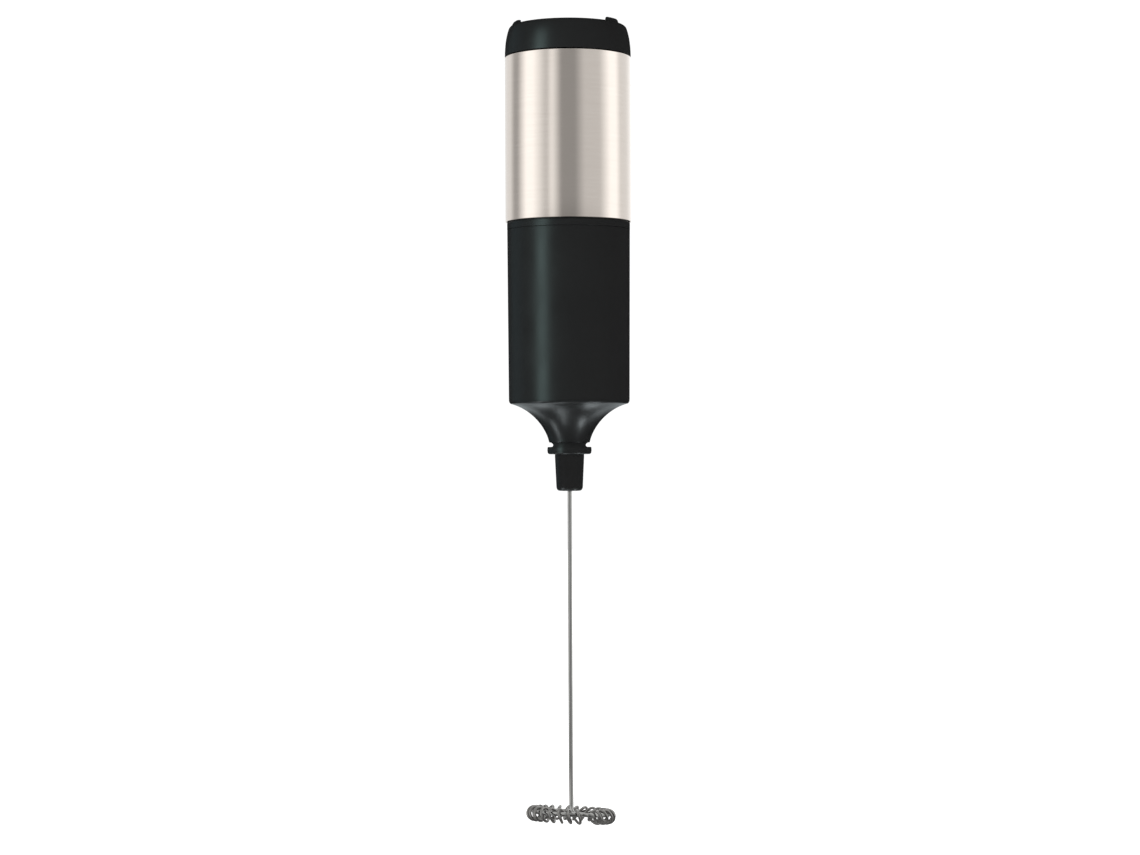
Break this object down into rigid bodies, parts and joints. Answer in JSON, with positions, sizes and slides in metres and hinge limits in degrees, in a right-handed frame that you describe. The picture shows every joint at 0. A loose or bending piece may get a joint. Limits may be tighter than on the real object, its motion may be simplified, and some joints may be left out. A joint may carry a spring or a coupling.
{
  "type": "milk frother",
  "caption": "Handheld battery milk frother: steel-covered handle with a push button in the cap and a coiled-spring whisk on a long wire.",
  "frame": {"origin": "on the handle's axis, at the seam between the steel cover and the black part, in the middle of the grip", "axes": "+Z along the handle's axis towards the button cap, so the whisk points down; +X to the right of the picture's view, +Y away from it"},
  "size_m": [0.0354, 0.0354, 0.2251],
  "materials": {
    "brushed_steel": "fine vertical-sheen brushing",
    "black_plastic": "satin moulded",
    "matte_black": "matte moulded",
    "whisk_steel": "bright drawn wire",
    "plated_steel": "nickel plated",
    "pale_plastic": "natural nylon",
    "brass": "stamped sheet",
    "copper": "copper, enamelled wire and strip",
    "bronze": "sintered bronze",
    "cell_wrap": "printed shrink sleeve, plain",
    "red_insulation": "wire insulation",
    "black_insulation": "wire insulation",
    "ferrite": "sintered ferrite",
    "rubber": "moulded",
    "core_iron": "laminated steel"
  },
  "bodies": {
    "handle": {"motor_housing": "black_plastic", "nose_collar": "black_plastic", "shaft_seal": "rubber", "motor_cradle": "pale_plastic", "motor_can": "plated_steel", "motor_end_bell": "pale_plastic", "magnet_left": "ferrite", "magnet_right": "ferrite", "front_bearing": "bronze", "rear_bearing": "bronze", "brush_left": "copper", "brush_right": "copper", "battery_carrier": "matte_black", "battery_a": "cell_wrap", "battery_b": "cell_wrap", "contact_plate_a": "plated_steel", "contact_plate_b": "plated_steel", "contact_spring_a": "plated_steel", "contact_spring_b": "plated_steel", "contact_pad_b": "plated_steel", "carrier_screw_1": "plated_steel", "carrier_screw_2": "plated_steel", "lead_red": "red_insulation", "lead_black": "black_insulation"},
    "cover": {"steel_sleeve": "brushed_steel", "battery_tube": "black_plastic", "top_cap": "black_plastic", "switch_plate": "pale_plastic", "switch_screw_1": "plated_steel", "switch_screw_2": "plated_steel", "button_spring": "plated_steel"},
    "button": {"power_button": "matte_black", "bridge_contact": "brass", "bridge_retainer": "plated_steel"},
    "rotor": {"motor_shaft": "whisk_steel", "rotor_core": "core_iron", "rotor_winding_1": "copper", "rotor_winding_2": "copper", "rotor_winding_3": "copper", "commutator": "copper", "thrust_washer": "brass", "whisk_holder": "matte_black", "whisk_wire": "whisk_steel", "whisk_coil": "whisk_steel"}
  },
  "joints": [
    {"name": "cover_lift", "type": "slide", "parent": "handle", "child": "cover", "axis": [0, 0, 1], "range_m": [0, 0.06]},
    {"name": "button_press", "type": "slide", "parent": "cover", "child": "button", "axis": [0, 0, -1], "range_m": [0, 0.0015], "stiffness_N_per_m": 800, "deforming": ["button_spring"]},
    {"name": "whisk_spin", "type": "hinge", "parent": "handle", "child": "rotor", "pos_m": [0, 0, 0], "axis": [0, 0, 1], "continuous": true}
  ]
}
